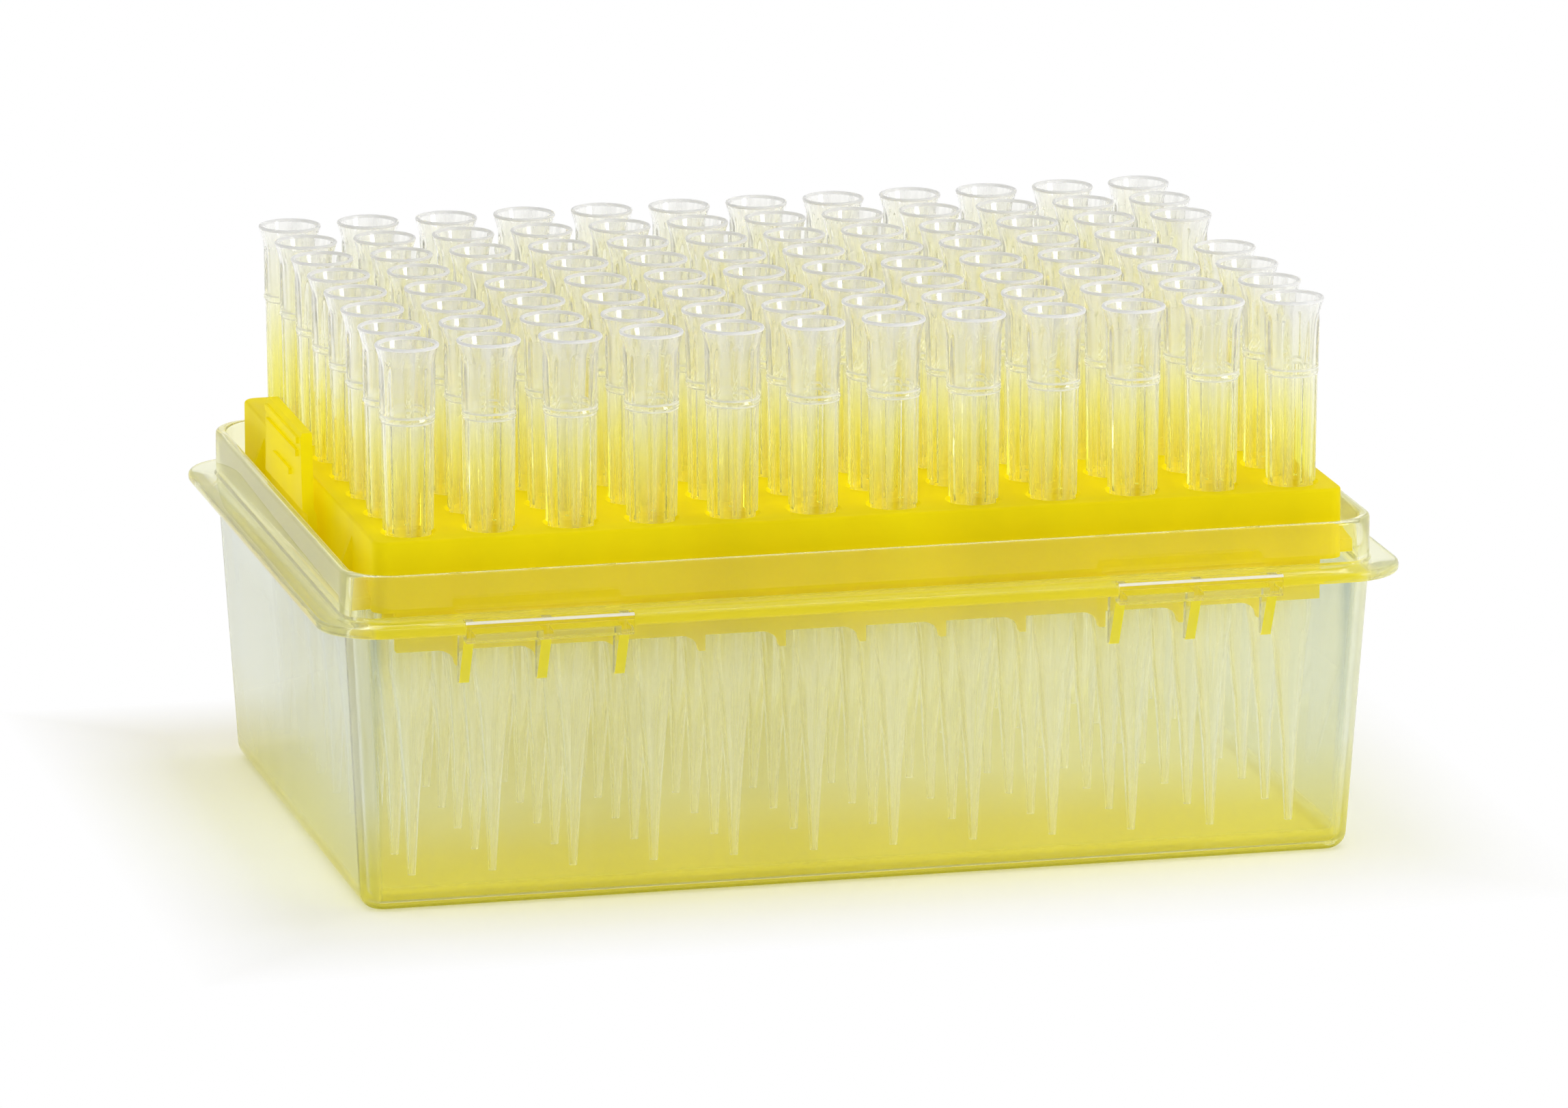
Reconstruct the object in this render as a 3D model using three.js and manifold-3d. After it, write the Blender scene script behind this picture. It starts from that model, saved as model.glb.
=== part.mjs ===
// Refill box of pipette tips: an open clear tray, a yellow rack that rests in it,
// and the tips that hang in the rack's sleeves, with one seat left empty.
// Millimetres, +Z up. The origin is the centre of the tray's underside, and the
// long side runs along X.

import * as THREE from 'three';
import { mergeVertices } from 'three/addons/utils/BufferGeometryUtils.js';
import Module from 'manifold-3d';

const wasm = await Module();
wasm.setup();

// ---------------------------------------------------------------- dimensions

// Grid of seats
const PITCH = 9;
const COLUMNS = 12;
const ROWS = 8;
const EMPTY_COLUMN = 11;
const EMPTY_ROW = 4;

// Clearance between pieces that rest on each other, overlap of joined bodies, and
// how far a cutting body runs past the face that it cuts
const FIT_GAP = 0.3;
const WELD = 0.35;
const OVERRUN = 1;

// Straight steps in each rounded corner
const CORNER_STEPS = 3;

// Tip, measured from the shoulder that rests on the rack. Radii of tips and sleeves
// are to the corners of their eight-sided sections, and the flats lie a thirteenth
// nearer the axis.
const TIP_ABOVE = 20.5;
const TIP_BELOW = 38.5;
const TIP_SIDES = 8;
const TIP_MOUTH_RADIUS = 3.5;
const TIP_MOUTH_BORE = 3.05;
const TIP_FLARE_DEPTH = 2.6;
const TIP_NECK_RADIUS = 3.05;
const TIP_NECK_BORE = 2.4;
const TIP_BODY_RADIUS = 2.5;
const TIP_SHOULDER = 0.12;
const TIP_NOZZLE_LENGTH = 17;
const TIP_NOZZLE_RADIUS = 1.65;
const TIP_NOZZLE_BORE = 1.15;
const TIP_END_RADIUS = 0.36;

// Rack
const SEAT_CLEARANCE = 0.4;
const SKIRT_MARGIN = 4.75;
const SKIRT_HEIGHT = 7.8;
const SKIRT_WALL = 1.2;
const SKIRT_CORNER = 1.6;
const SKIRT_INNER_CORNER = 0.8;
const PLATE_THICKNESS = 1.2;
const SLEEVE_WALL = 0.5;
const SLEEVE_TAPER = 0.25;
const SLEEVE_DROP = 2.9;
const WEB_THICKNESS = 0.9;
const WEB_DROP = 4.8;
const FOOT_REACH = 1.95;
const FOOT_THICKNESS = 1.2;
const FOOT_INSET = 2.2;
const GUSSET_THICKNESS = 1;
const GUSSET_HEIGHT = 6;
const GUSSET_OFFSET = 24;

// Grip tabs of the rack
const TAB_RISE = 6.2;
const TAB_HALF_TOP = 8.5;
const TAB_HALF_BASE = 10.5;
const TAB_THICKNESS = 1.1;
const TAB_LEAN = 1.5;
const TAB_LIP_HEIGHT = 2.2;
const RIDGE_COUNT = 3;
const RIDGE_SPACING = 1.7;
const RIDGE_SIZE = 0.5;
const RIDGE_HALF_LENGTH = 6.5;

// Tray
const WALL = 1.2;
const FLOOR = 1.2;
const TIP_END_GAP = 1.9;
const DRAFT = 1.9;
const BODY_CORNER = 4.6;
const FOOT_BEVEL = 1.4;
const FOOT_BEVEL_CORNER = 0.7;
const SHELF_END = 0.7;
const SHELF_SIDE = 1.6;
const RIM_SIDE_GAP = 1.85;
const RIM_HEIGHT = 5;
const RIM_CORNER = 5.5;
const FLANGE_REACH = 2.9;
const FLANGE_THICKNESS = 1.2;
const FLANGE_CORNER = 7;
const FIN_COUNT = 3;
const FIN_PITCH = 9;
const FIN_OFFSET = 36;
const FIN_THICKNESS = 1.1;
const FIN_HEIGHT = 6.2;
const FIN_END = 0.9;
const LIP_REACH = 0.5;
const LIP_DROP = 0.8;

// Tips that share one node are joined by a thin bridge just above the plate
const BRIDGE_SIZE = 0.8;
const TIPS_PER_NODE = 2;

// -------------------------------------------------------------- worked sizes

const plateTop = FLOOR + TIP_END_GAP + TIP_BELOW - FIT_GAP;
const plateBottom = plateTop - PLATE_THICKNESS;
const skirtBottom = plateTop - SKIRT_HEIGHT;
const rackHalfX = ((COLUMNS - 1) * PITCH) / 2 + SKIRT_MARGIN;
const rackHalfY = ((ROWS - 1) * PITCH) / 2 + SKIRT_MARGIN;
const boreRadius = TIP_BODY_RADIUS + SEAT_CLEARANCE;
const ribbedRadius = boreRadius + TIP_SHOULDER;
const sleeveRadius = boreRadius + SLEEVE_WALL;

const shelfTop = skirtBottom - FIT_GAP;
const flangeBottom = shelfTop - FLANGE_THICKNESS;
const rimTop = shelfTop + RIM_HEIGHT;
const rimInnerX = rackHalfX + FOOT_REACH + FIT_GAP;
const rimInnerY = rackHalfY + RIM_SIDE_GAP;
const bodyInnerX = rimInnerX - SHELF_END;
const bodyInnerY = rimInnerY - SHELF_SIDE;
const wallSlope = DRAFT / shelfTop;
const rimOuterX = rimInnerX + WALL;
const rimOuterY = rimInnerY + WALL;
const flangeX = rimOuterX + FLANGE_REACH;
const flangeY = rimOuterY + FLANGE_REACH;

const footX = rackHalfX + FOOT_REACH;
const tabTop = plateTop + TAB_RISE;
const seatZ = plateTop + FIT_GAP;

const columnX = (column) => (column - (COLUMNS - 1) / 2) * PITCH;
const rowY = (row) => (row - (ROWS - 1) / 2) * PITCH;

// ------------------------------------------------------------------- finishes

const trayPlastic = new THREE.MeshStandardMaterial({
  color: 0xe3e4cf, roughness: 0.3, metalness: 0, transparent: true, opacity: 0.45,
});
const rackPlastic = new THREE.MeshStandardMaterial({
  color: 0xe0c70a, roughness: 0.45, metalness: 0,
});
const tipPlastic = new THREE.MeshStandardMaterial({
  color: 0xecefe6, roughness: 0.25, metalness: 0, transparent: true, opacity: 0.6,
});

// -------------------------------------------------------------- solid helpers

// A geometry's closed surface, with its shared vertices merged, as a solid.
function solid(geometry) {
  const bare = geometry.clone();
  bare.deleteAttribute('normal');
  bare.deleteAttribute('uv');
  const welded = mergeVertices(bare, 1e-4);
  return new wasm.Manifold(new wasm.Mesh({
    numProp: 3,
    vertProperties: new Float32Array(welded.attributes.position.array),
    triVerts: new Uint32Array(welded.index.array),
  }));
}

// A solid back as a geometry that a mesh can hold.
function surface(body) {
  const mesh = body.getMesh();
  const geometry = new THREE.BufferGeometry();
  geometry.setAttribute('position', new THREE.BufferAttribute(mesh.vertProperties, 3));
  geometry.setIndex(new THREE.BufferAttribute(mesh.triVerts, 1));
  return geometry;
}

const join = (bodies) => bodies.reduce((whole, body) => whole.add(body));
const cut = (body, tools) => tools.reduce((left, tool) => left.subtract(tool), body);

// A box between two corners.
function block([x0, y0, z0], [x1, y1, z1]) {
  const box = new THREE.BoxGeometry(x1 - x0, y1 - y0, z1 - z0);
  box.translate((x0 + x1) / 2, (y0 + y1) / 2, (z0 + z1) / 2);
  return solid(box);
}

// A rounded rectangle lofted through levels of { z, halfX, halfY, corner }.
function roundedLoft(levels) {
  const base = levels[0];
  const shape = new THREE.Shape();
  const centreX = base.halfX - base.corner;
  const centreY = base.halfY - base.corner;
  shape.absarc(centreX, centreY, base.corner, 0, Math.PI / 2);
  shape.absarc(-centreX, centreY, base.corner, Math.PI / 2, Math.PI);
  shape.absarc(-centreX, -centreY, base.corner, Math.PI, 1.5 * Math.PI);
  shape.absarc(centreX, -centreY, base.corner, 1.5 * Math.PI, 2 * Math.PI);
  const steps = levels.length - 1;
  const geometry = new THREE.ExtrudeGeometry(shape, {
    depth: steps, steps, bevelEnabled: false, curveSegments: CORNER_STEPS,
  });
  const position = geometry.attributes.position;
  for (let i = 0; i < position.count; i += 1) {
    const level = levels[Math.round(position.getZ(i))];
    const signX = Math.sign(position.getX(i));
    const signY = Math.sign(position.getY(i));
    const turnX = (position.getX(i) - signX * centreX) / base.corner;
    const turnY = (position.getY(i) - signY * centreY) / base.corner;
    const x = signX * (level.halfX - level.corner) + turnX * level.corner;
    const y = signY * (level.halfY - level.corner) + turnY * level.corner;
    position.setXYZ(i, x, y, level.z);
  }
  return solid(geometry);
}

// A straight rounded block from z0 to z1.
function roundedBlock(halfX, halfY, corner, z0, z1) {
  return roundedLoft([{ z: z0, halfX, halfY, corner }, { z: z1, halfX, halfY, corner }]);
}

// A flat outline of [across, z] points, extruded to a thickness along X and
// centred on x = 0; across runs along Y.
function finPlate(points, thickness) {
  const shape = new THREE.Shape(points.map(([across, z]) => new THREE.Vector2(across, z)));
  const geometry = new THREE.ExtrudeGeometry(shape, { depth: thickness, bevelEnabled: false });
  geometry.translate(0, 0, -thickness / 2);
  geometry.rotateX(Math.PI / 2);
  geometry.rotateZ(Math.PI / 2);
  return solid(geometry);
}

// An upright cylinder with the same facets as the tips.
function post(radiusTop, radiusBottom, z0, z1) {
  const geometry = new THREE.CylinderGeometry(radiusTop, radiusBottom, z1 - z0, TIP_SIDES);
  geometry.rotateX(Math.PI / 2);
  geometry.translate(0, 0, (z0 + z1) / 2);
  return solid(geometry);
}

// ------------------------------------------------------------------------ tray

// The drafted body with its bevelled foot, either the outside or the cavity.
function trayBody(halfX, halfY, corner, z0, z1, bevel) {
  const at = (z, inset, cornerInset) => ({
    z,
    halfX: halfX - wallSlope * (shelfTop - z) - inset,
    halfY: halfY - wallSlope * (shelfTop - z) - inset,
    corner: corner - cornerInset,
  });
  return roundedLoft([at(z0, bevel, FOOT_BEVEL_CORNER), at(z0 + bevel, 0, 0), at(z1, 0, 0)]);
}

// Fins that hold up the flange, in one group along a long side.
function flangeFins(side) {
  const wallY = bodyInnerY + WALL;
  const finBottom = flangeBottom - FIN_HEIGHT;
  const rootTop = wallY - WELD;
  const rootBottom = wallY - wallSlope * (shelfTop - finBottom) - WELD;
  const outline = [
    [rootBottom, finBottom],
    [rootBottom + WELD + FIN_END, finBottom],
    [flangeY - FIN_END, flangeBottom + WELD],
    [rootTop, flangeBottom + WELD],
  ];
  const fins = [];
  for (const group of [-1, 1]) {
    for (let i = 0; i < FIN_COUNT; i += 1) {
      const x = group * FIN_OFFSET + (i - (FIN_COUNT - 1) / 2) * FIN_PITCH;
      const fin = finPlate(outline, FIN_THICKNESS);
      fins.push((side > 0 ? fin : fin.mirror([0, 1, 0])).translate([x, 0, 0]));
    }
  }
  return fins;
}

// The thicker lip on the flange's edge over one group of fins.
function flangeLip(side, group) {
  const halfSpan = ((FIN_COUNT - 1) * FIN_PITCH + FIN_THICKNESS) / 2 + FIN_THICKNESS;
  const near = side * (flangeY - FLANGE_THICKNESS);
  const far = side * (flangeY + LIP_REACH);
  return block(
    [group * FIN_OFFSET - halfSpan, Math.min(near, far), flangeBottom - LIP_DROP],
    [group * FIN_OFFSET + halfSpan, Math.max(near, far), shelfTop],
  );
}

function baseTray() {
  const outer = join([
    trayBody(bodyInnerX + WALL, bodyInnerY + WALL, BODY_CORNER, 0, shelfTop, FOOT_BEVEL),
    roundedBlock(flangeX, flangeY, FLANGE_CORNER, flangeBottom, shelfTop),
    roundedBlock(rimOuterX, rimOuterY, RIM_CORNER, flangeBottom, rimTop),
    ...[-1, 1].flatMap((side) => [
      ...flangeFins(side),
      flangeLip(side, -1),
      flangeLip(side, 1),
    ]),
  ]);
  return cut(outer, [
    trayBody(bodyInnerX, bodyInnerY, BODY_CORNER - WALL, FLOOR, shelfTop + OVERRUN, FOOT_BEVEL),
    roundedBlock(rimInnerX, rimInnerY, RIM_CORNER - WALL, shelfTop, rimTop + OVERRUN),
  ]);
}

// ------------------------------------------------------------------------ rack

// The plate with its skirt round the edge.
function plateAndSkirt() {
  const shell = roundedBlock(rackHalfX, rackHalfY, SKIRT_CORNER, skirtBottom, plateTop);
  const hollow = roundedBlock(
    rackHalfX - SKIRT_WALL, rackHalfY - SKIRT_WALL, SKIRT_INNER_CORNER,
    skirtBottom - OVERRUN, plateBottom,
  );
  return shell.subtract(hollow);
}

// Something for every seat of the grid.
function everySeat(make) {
  const bodies = [];
  for (let column = 0; column < COLUMNS; column += 1) {
    for (let row = 0; row < ROWS; row += 1) {
      bodies.push(make().translate([columnX(column), rowY(row), 0]));
    }
  }
  return bodies;
}

// Webs that run under the plate between the columns of sleeves.
function columnWebs() {
  const webs = [];
  const halfY = rackHalfY - SKIRT_WALL + WELD;
  for (let column = 1; column < COLUMNS; column += 1) {
    const x = (columnX(column - 1) + columnX(column)) / 2;
    webs.push(block(
      [x - WEB_THICKNESS / 2, -halfY, skirtBottom - WEB_DROP],
      [x + WEB_THICKNESS / 2, halfY, plateBottom + WELD],
    ));
  }
  return webs;
}

// The foot along the right-hand end, which rests on the tray's shelf.
function endFoot() {
  const halfY = rackHalfY - FOOT_INSET;
  return block(
    [rackHalfX - WELD, -halfY, skirtBottom],
    [footX, halfY, skirtBottom + FOOT_THICKNESS],
  );
}

// Gussets between the foot and the skirt.
function footGussets() {
  return [-1, 1].map((side) => {
    const outline = [
      [rackHalfX - WELD, skirtBottom],
      [footX, skirtBottom],
      [footX, skirtBottom + FOOT_THICKNESS],
      [rackHalfX, skirtBottom + GUSSET_HEIGHT],
      [rackHalfX - WELD, skirtBottom + GUSSET_HEIGHT],
    ];
    return finPlate(outline, GUSSET_THICKNESS)
      .rotate([0, 0, -90])
      .translate([0, side * GUSSET_OFFSET, 0]);
  });
}

// What is cut from one side of the tab, which narrows it towards the top.
function tabSideCut(side) {
  const outline = [
    [side * TAB_HALF_BASE, skirtBottom - OVERRUN],
    [side * TAB_HALF_BASE, skirtBottom],
    [side * TAB_HALF_TOP, tabTop],
    [side * TAB_HALF_TOP, tabTop + OVERRUN],
    [side * (TAB_HALF_BASE + OVERRUN), tabTop + OVERRUN],
    [side * (TAB_HALF_BASE + OVERRUN), skirtBottom - OVERRUN],
  ];
  const reach = TAB_THICKNESS + TAB_LEAN + OVERRUN;
  return finPlate(outline, 2 * reach).translate([footX, 0, 0]);
}

// The grip tab that stands on the foot, upright as far as the tray's rim and
// leaning out above it.
function gripTab() {
  const inner = footX - TAB_THICKNESS;
  const section = [
    [inner, skirtBottom],
    [footX, skirtBottom],
    [footX, rimTop + FIT_GAP],
    [footX + TAB_LEAN, tabTop - TAB_LIP_HEIGHT],
    [footX + TAB_LEAN, tabTop],
    [inner, tabTop],
  ];
  const blank = finPlate(section, 2 * TAB_HALF_BASE).rotate([0, 0, -90]);
  return cut(blank, [tabSideCut(-1), tabSideCut(1)]);
}

// Ridges across the outer face of the tab.
function tabRidges() {
  const face = footX + TAB_LEAN;
  const ridges = [];
  for (let i = 0; i < RIDGE_COUNT; i += 1) {
    const z = tabTop - (i + 0.5) * RIDGE_SPACING;
    ridges.push(block(
      [face - TAB_LEAN, -RIDGE_HALF_LENGTH, z - RIDGE_SIZE / 2],
      [face + RIDGE_SIZE / 2, RIDGE_HALF_LENGTH, z + RIDGE_SIZE / 2],
    ));
  }
  return ridges;
}

function tipRack() {
  const sleeveBottom = skirtBottom - SLEEVE_DROP;
  const sleeve = () => post(
    sleeveRadius, sleeveRadius - SLEEVE_TAPER, sleeveBottom, plateBottom + WELD,
  );
  const bore = () => post(boreRadius, boreRadius, sleeveBottom - OVERRUN, plateTop + OVERRUN);
  const end = join([endFoot(), ...footGussets(), gripTab(), ...tabRidges()]);
  const rack = join([
    plateAndSkirt(), ...everySeat(sleeve), ...columnWebs(), end, end.mirror([1, 0, 0]),
  ]);
  return cut(rack, everySeat(bore));
}

// ------------------------------------------------------------------------ tips

// One tip with its shoulder at z = 0: a tapered nozzle, a body that hangs in the
// sleeve, the ribbed part above the shoulder and a flared mouth, bored through.
function tipGeometry() {
  const neckZ = TIP_ABOVE - TIP_FLARE_DEPTH;
  const nozzleZ = TIP_NOZZLE_LENGTH - TIP_BELOW;
  const profile = [
    [TIP_END_RADIUS, -TIP_BELOW],
    [TIP_NOZZLE_RADIUS, nozzleZ],
    [TIP_BODY_RADIUS, 0],
    [ribbedRadius, 0],
    [TIP_NECK_RADIUS, neckZ],
    [TIP_MOUTH_RADIUS, TIP_ABOVE],
    [TIP_MOUTH_BORE, TIP_ABOVE],
    [TIP_NECK_BORE, neckZ],
    [TIP_NOZZLE_BORE, nozzleZ],
    [TIP_END_RADIUS, -TIP_BELOW],
  ];
  const points = profile.map(([radius, z]) => new THREE.Vector2(radius, z));
  const geometry = new THREE.LatheGeometry(points, TIP_SIDES);
  geometry.rotateX(Math.PI / 2);
  return geometry;
}

// Neighbouring tips in one row, joined by bridges above their shoulders.
function joinedTips(count) {
  const tip = solid(tipGeometry());
  const reach = ribbedRadius - WELD;
  const bodies = [];
  for (let i = 0; i < count; i += 1) {
    bodies.push(tip.translate([i * PITCH, 0, 0]));
    if (i > 0) {
      bodies.push(block(
        [(i - 1) * PITCH + reach, -BRIDGE_SIZE / 2, 0],
        [i * PITCH - reach, BRIDGE_SIZE / 2, BRIDGE_SIZE],
      ));
    }
  }
  return surface(join(bodies));
}

// ------------------------------------------------------------------- assembly

const box = new THREE.Group();

function place(name, geometry, material, x = 0, y = 0, z = 0) {
  const mesh = new THREE.Mesh(geometry, material);
  mesh.name = name;
  mesh.position.set(x, y, z);
  box.add(mesh);
}

// Seats are lettered from the back row and numbered from the left.
function seatName(column, row) {
  const letter = String.fromCharCode('A'.charCodeAt(0) + ROWS - 1 - row);
  return `${letter}${String(column + 1).padStart(2, '0')}`;
}

const isEmpty = (column, row) => column === EMPTY_COLUMN && row === EMPTY_ROW;

// How many seats of a row share each node: one at each end, and pairs between them.
function seatGroups() {
  const inner = COLUMNS - 2;
  const full = Array(Math.floor(inner / TIPS_PER_NODE)).fill(TIPS_PER_NODE);
  const single = Array(inner % TIPS_PER_NODE).fill(1);
  return [1, ...full, ...single, 1];
}

const oneTip = joinedTips(1);
const fullGroup = joinedTips(TIPS_PER_NODE);

// The tips of one group of seats. A group with an empty seat has single tips.
function placeTips(first, count, row) {
  const columns = Array.from({ length: count }, (_, i) => first + i);
  const taken = columns.filter((column) => !isEmpty(column, row));
  if (count > 1 && taken.length === count) {
    const name = `tips_${columns.map((column) => seatName(column, row)).join('_')}`;
    place(name, fullGroup, tipPlastic, columnX(first), rowY(row), seatZ);
    return;
  }
  for (const column of taken) {
    place(`tip_${seatName(column, row)}`, oneTip, tipPlastic, columnX(column), rowY(row), seatZ);
  }
}

place('base_tray', surface(baseTray()), trayPlastic);
place('tip_rack', surface(tipRack()), rackPlastic);

for (let row = 0; row < ROWS; row += 1) {
  let first = 0;
  for (const count of seatGroups()) {
    placeTips(first, count, row);
    first += count;
  }
}

export default box;
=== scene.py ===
"""An open box of pipette tips: a clear tray, a yellow rack and 95 clear tips.

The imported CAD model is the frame. Its faceted pieces are replaced by fine ones that
are built here, in metres, in the same place. X runs along the box, -Y faces the camera
and Z is up, with the floor at 0.
"""

import math
import random

import bmesh
import bpy
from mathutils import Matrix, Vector


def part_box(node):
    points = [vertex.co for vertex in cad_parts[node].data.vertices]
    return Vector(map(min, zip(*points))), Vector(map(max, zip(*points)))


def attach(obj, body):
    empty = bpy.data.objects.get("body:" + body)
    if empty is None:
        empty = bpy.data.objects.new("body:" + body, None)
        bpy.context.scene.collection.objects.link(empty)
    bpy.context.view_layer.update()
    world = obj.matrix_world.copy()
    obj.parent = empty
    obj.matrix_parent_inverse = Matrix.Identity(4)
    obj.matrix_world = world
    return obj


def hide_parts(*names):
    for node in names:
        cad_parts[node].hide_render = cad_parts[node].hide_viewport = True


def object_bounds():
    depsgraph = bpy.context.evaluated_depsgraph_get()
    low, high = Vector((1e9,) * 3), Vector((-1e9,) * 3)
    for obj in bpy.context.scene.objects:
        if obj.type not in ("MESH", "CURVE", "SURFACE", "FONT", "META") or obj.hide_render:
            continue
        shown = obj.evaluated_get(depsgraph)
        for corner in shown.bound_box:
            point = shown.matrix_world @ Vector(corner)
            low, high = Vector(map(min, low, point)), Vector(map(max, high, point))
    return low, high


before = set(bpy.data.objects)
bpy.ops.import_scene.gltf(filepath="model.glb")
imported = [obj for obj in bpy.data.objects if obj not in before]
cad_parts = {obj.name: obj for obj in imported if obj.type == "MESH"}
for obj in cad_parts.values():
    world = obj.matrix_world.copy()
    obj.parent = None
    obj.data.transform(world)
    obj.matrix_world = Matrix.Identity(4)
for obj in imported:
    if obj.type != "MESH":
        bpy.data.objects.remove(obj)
cad_low, cad_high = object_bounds()

# ------------------------------------------------------------------ sizes

MM = 0.001

# Seats: rows are lettered from the back and columns numbered from the left. The tips
# at the ends of a row are CAD nodes of their own, and those between are in pairs.
ROWS = "ABCDEFGH"
COLUMNS = 12
EMPTY_SEAT = "D12"

tray_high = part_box("base_tray")[1]
rack_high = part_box("tip_rack")[1]
tip_low, tip_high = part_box("tip_A01")
first_seat = sum(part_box("tip_H01"), Vector()) / 2
last_seat = sum(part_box("tip_A12"), Vector()) / 2
PITCH = (last_seat.x - first_seat.x) / (COLUMNS - 1)

# Rack: the plate with its sleeves and webs, a skirt round it, and at each end a foot with
# two gussets and a grip tab
TAB_RISE = 6.2 * MM
SKIRT_HEIGHT = 7.8 * MM
SKIRT_MARGIN = 4.75 * MM
SKIRT_WALL = 1.2 * MM
SKIRT_CORNER = 1.6 * MM
SKIRT_ROUND = 0.35 * MM
PLATE_THICKNESS = 1.2 * MM
SEAT_RADIUS = 2.72 * MM
SLEEVE_TOP_RADIUS = 3.2 * MM
SLEEVE_END_RADIUS = 2.95 * MM
SLEEVE_DROP = 2.9 * MM
WEB_THICKNESS = 0.9 * MM
WEB_DROP = 4.6 * MM
HOOK_DROP = 6.4 * MM
HOOK_LENGTH = 2.3 * MM
HOOK_SLOPE = 0.8
INNER_WALL_SHORT = 0.25 * PITCH
FOOT_REACH = 1.95 * MM
FOOT_THICKNESS = 1.2 * MM
FOOT_INSET = 2.2 * MM
GUSSET_OFFSET = 24.0 * MM
GUSSET_THICKNESS = 1.0 * MM
GUSSET_HEIGHT = 6.0 * MM
TAB_HALF_TOP = 9.5 * MM
TAB_HALF_BASE = 10.6 * MM
TAB_THICKNESS = 1.0 * MM
TAB_STEP = 0.6 * MM
RIDGE_DEPTH = 0.35 * MM
RIDGE_HEIGHT = 0.7 * MM
# (distance below the tab's top, half length) of each ridge
RIDGES = ((0.9 * MM, 8.6 * MM), (2.4 * MM, 8.3 * MM), (5.3 * MM, 4.4 * MM))

plate_top = rack_high.z - TAB_RISE
plate_bottom = plate_top - PLATE_THICKNESS
skirt_bottom = plate_top - SKIRT_HEIGHT
rack_half_x = (COLUMNS - 1) * PITCH / 2 + SKIRT_MARGIN
rack_half_y = (len(ROWS) - 1) * PITCH / 2 + SKIRT_MARGIN
foot_x = rack_half_x + FOOT_REACH

# Tray: a drafted body, a flange at its top held up by fins, and a rim above that
WALL = 1.2 * MM
FLOOR_THICKNESS = 1.2 * MM
SHELF_DROP = 0.3 * MM
RIM_HEIGHT = 5.0 * MM
RIM_CORNER = 5.5 * MM
FLANGE_REACH = 2.9 * MM
FLANGE_THICKNESS = 1.2 * MM
FLANGE_CORNER = 7.0 * MM
BODY_CORNER = 2.6 * MM
DRAFT = 1.9 * MM
SHELF_END = 0.25 * MM
SHELF_SIDE = 1.6 * MM
FOOT_ROUND = 1.8 * MM
INNER_ROUND = FOOT_ROUND - WALL / 2
EDGE_ROUND = 0.45 * MM
FIN_PITCH = 8.6 * MM
FIN_OFFSET = 36.3 * MM
FIN_THICKNESS = 1.1 * MM
FIN_HEIGHT = 6.2 * MM
FIN_END = 0.9 * MM
LIP_REACH = 0.5 * MM
LIP_DROP = 0.8 * MM
LIP_RISE = 0.35 * MM
LIP_OVERHANG = 0.1 * MM

shelf_top = skirt_bottom - SHELF_DROP
flange_bottom = shelf_top - FLANGE_THICKNESS
rim_top = shelf_top + RIM_HEIGHT
flange_x = tray_high.x
flange_y = tray_high.y - LIP_REACH
rim_x = flange_x - FLANGE_REACH
rim_y = flange_y - FLANGE_REACH
body_x = rim_x - SHELF_END
body_y = rim_y - SHELF_SIDE
foot_half_x = body_x - DRAFT
foot_half_y = body_y - DRAFT

# Tip: the upper part is measured down from the mouth and the lower part up from the end
MOUTH_RADIUS = 3.5 * MM
MOUTH_BORE = 3.08 * MM
FLARE_DEPTH = 2.6 * MM
NECK_RADIUS = 2.96 * MM
NECK_BORE = 2.55 * MM
RING_DEPTH = 8.2 * MM
RING_RADIUS = 2.96 * MM
RING_WIDTH = 0.5 * MM
RING_CREST = 0.06 * MM
RING_CREST_SHARE = 0.4
RING_TOP_SHARE = 0.7
RIB_RADIUS = 2.9 * MM
RIB_FOOT_RADIUS = 2.76 * MM
RIB_TOP_CORE = 2.78 * MM
NECK_RIB = 0.1 * MM
BODY_RADIUS = 2.5 * MM
SHOULDER_RADIUS = 2.3 * MM
SHOULDER_EDGE_RADIUS = SHOULDER_RADIUS * 0.96
NOZZLE_RADIUS = 1.72 * MM
NOZZLE_EDGE_RADIUS = NOZZLE_RADIUS * 1.06
NOZZLE_MIDDLE_RADIUS = 0.95 * MM
END_RADIUS = 0.45 * MM
END_BORE = 0.22 * MM
TIP_WALL = 0.45 * MM
FLARE_POWER = 1.6
SHOULDER_HEIGHT = 23.0 * MM
SHOULDER_EDGE = 0.6 * MM
NOZZLE_HEIGHT = 18.5 * MM
NOZZLE_EDGE = 1.2 * MM
NOZZLE_MIDDLE_HEIGHT = 9.0 * MM
RIBS = 8
RIB_TOP_ANGLE = math.radians(4.2)
RIB_FOOT_ANGLE = math.radians(6.2)
RIB_GAP_STEPS = 4
TURN_SEED = 4

# Steps in the roundings of the fine meshes. Solids overlap by WELD where they are joined,
# and a cutting tool runs past the surface by OVERRUN.
CORNER_STEPS = 10
EDGE_STEPS = 4
SEAT_STEPS = 32
SMOOTH_ANGLE = math.radians(32)
OVERRUN = 1.0 * MM
WELD = 0.15 * MM

# Look. A tint colours what shows through a plastic, and a lamp tint what a lamp lights
# through it. Milk is the share of a plastic that scatters light, and haze is faint milk.
# A pair gives the two ends that a value runs between. Clouds and streaks are noise: waves
# per metre, and how many times as many along Z. Milk sends the share MILK_FRONT of its
# light back to the side that it came from.
WHITE = (1.0, 1.0, 1.0, 1.0)
CLEAR_IOR = 1.49
MILK_FRONT = 0.6

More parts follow.
